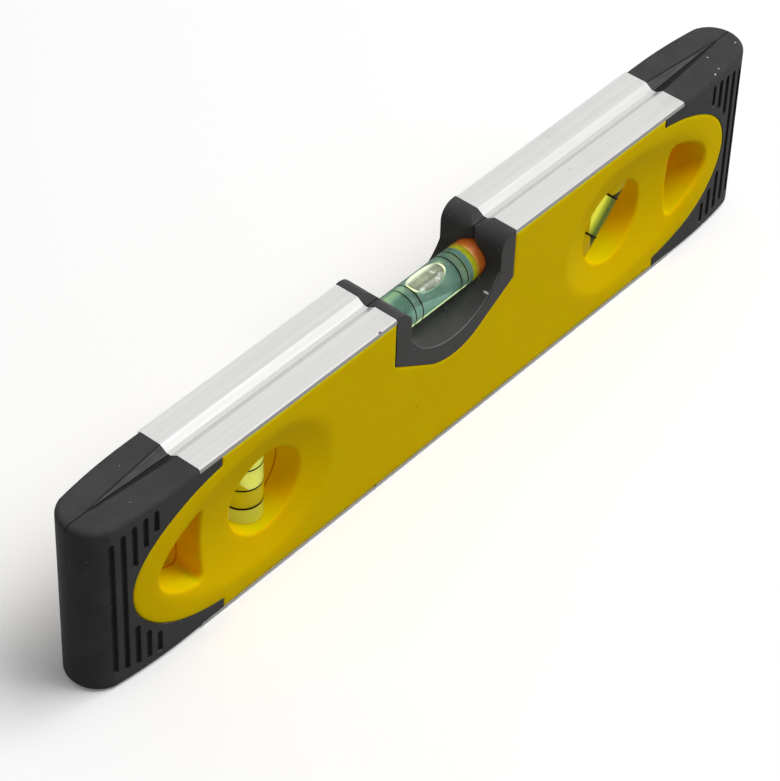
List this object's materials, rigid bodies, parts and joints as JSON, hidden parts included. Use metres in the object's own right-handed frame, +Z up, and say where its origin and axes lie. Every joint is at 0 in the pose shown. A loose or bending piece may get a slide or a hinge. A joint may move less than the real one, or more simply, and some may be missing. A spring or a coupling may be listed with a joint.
{
  "type": "pocket spirit level",
  "caption": "Torpedo level: aluminium I-beam frame with V-grooved edges, moulded covers, rubber end caps, level, plumb and 45 degree vials.",
  "frame": {"origin": "centre of the level on the surface that its bottom edge rests on", "axes": "+X along the level toward the 45 degree vial, +Y from the front face to the rear, +Z up"},
  "size_m": [0.23, 0.018, 0.048],
  "materials": {
    "aluminium": "brushed",
    "yellow": "satin",
    "rubber": "matte",
    "surround": "matte",
    "acrylic": "polished",
    "plug": "gloss",
    "green_fluid": "clear",
    "lime_fluid": "clear",
    "magnet": "plated"
  },
  "bodies": {
    "root": {"frame": "aluminium", "front_cover": "yellow", "rear_cover": "yellow", "left_cap_front": "rubber", "left_cap_rear": "rubber", "right_cap_front": "rubber", "right_cap_rear": "rubber", "notch_surround_front": "surround", "notch_surround_rear": "surround", "level_vial_tube": "acrylic", "level_vial_plug": "plug", "level_vial_fluid": "green_fluid", "plumb_vial_tube": "acrylic", "plumb_vial_plug": "plug", "plumb_vial_fluid": "lime_fluid", "angle_vial_tube": "acrylic", "angle_vial_plug": "plug", "angle_vial_fluid": "lime_fluid", "magnet_left": "magnet", "magnet_middle": "magnet", "magnet_right": "magnet"}
  },
  "joints": []
}
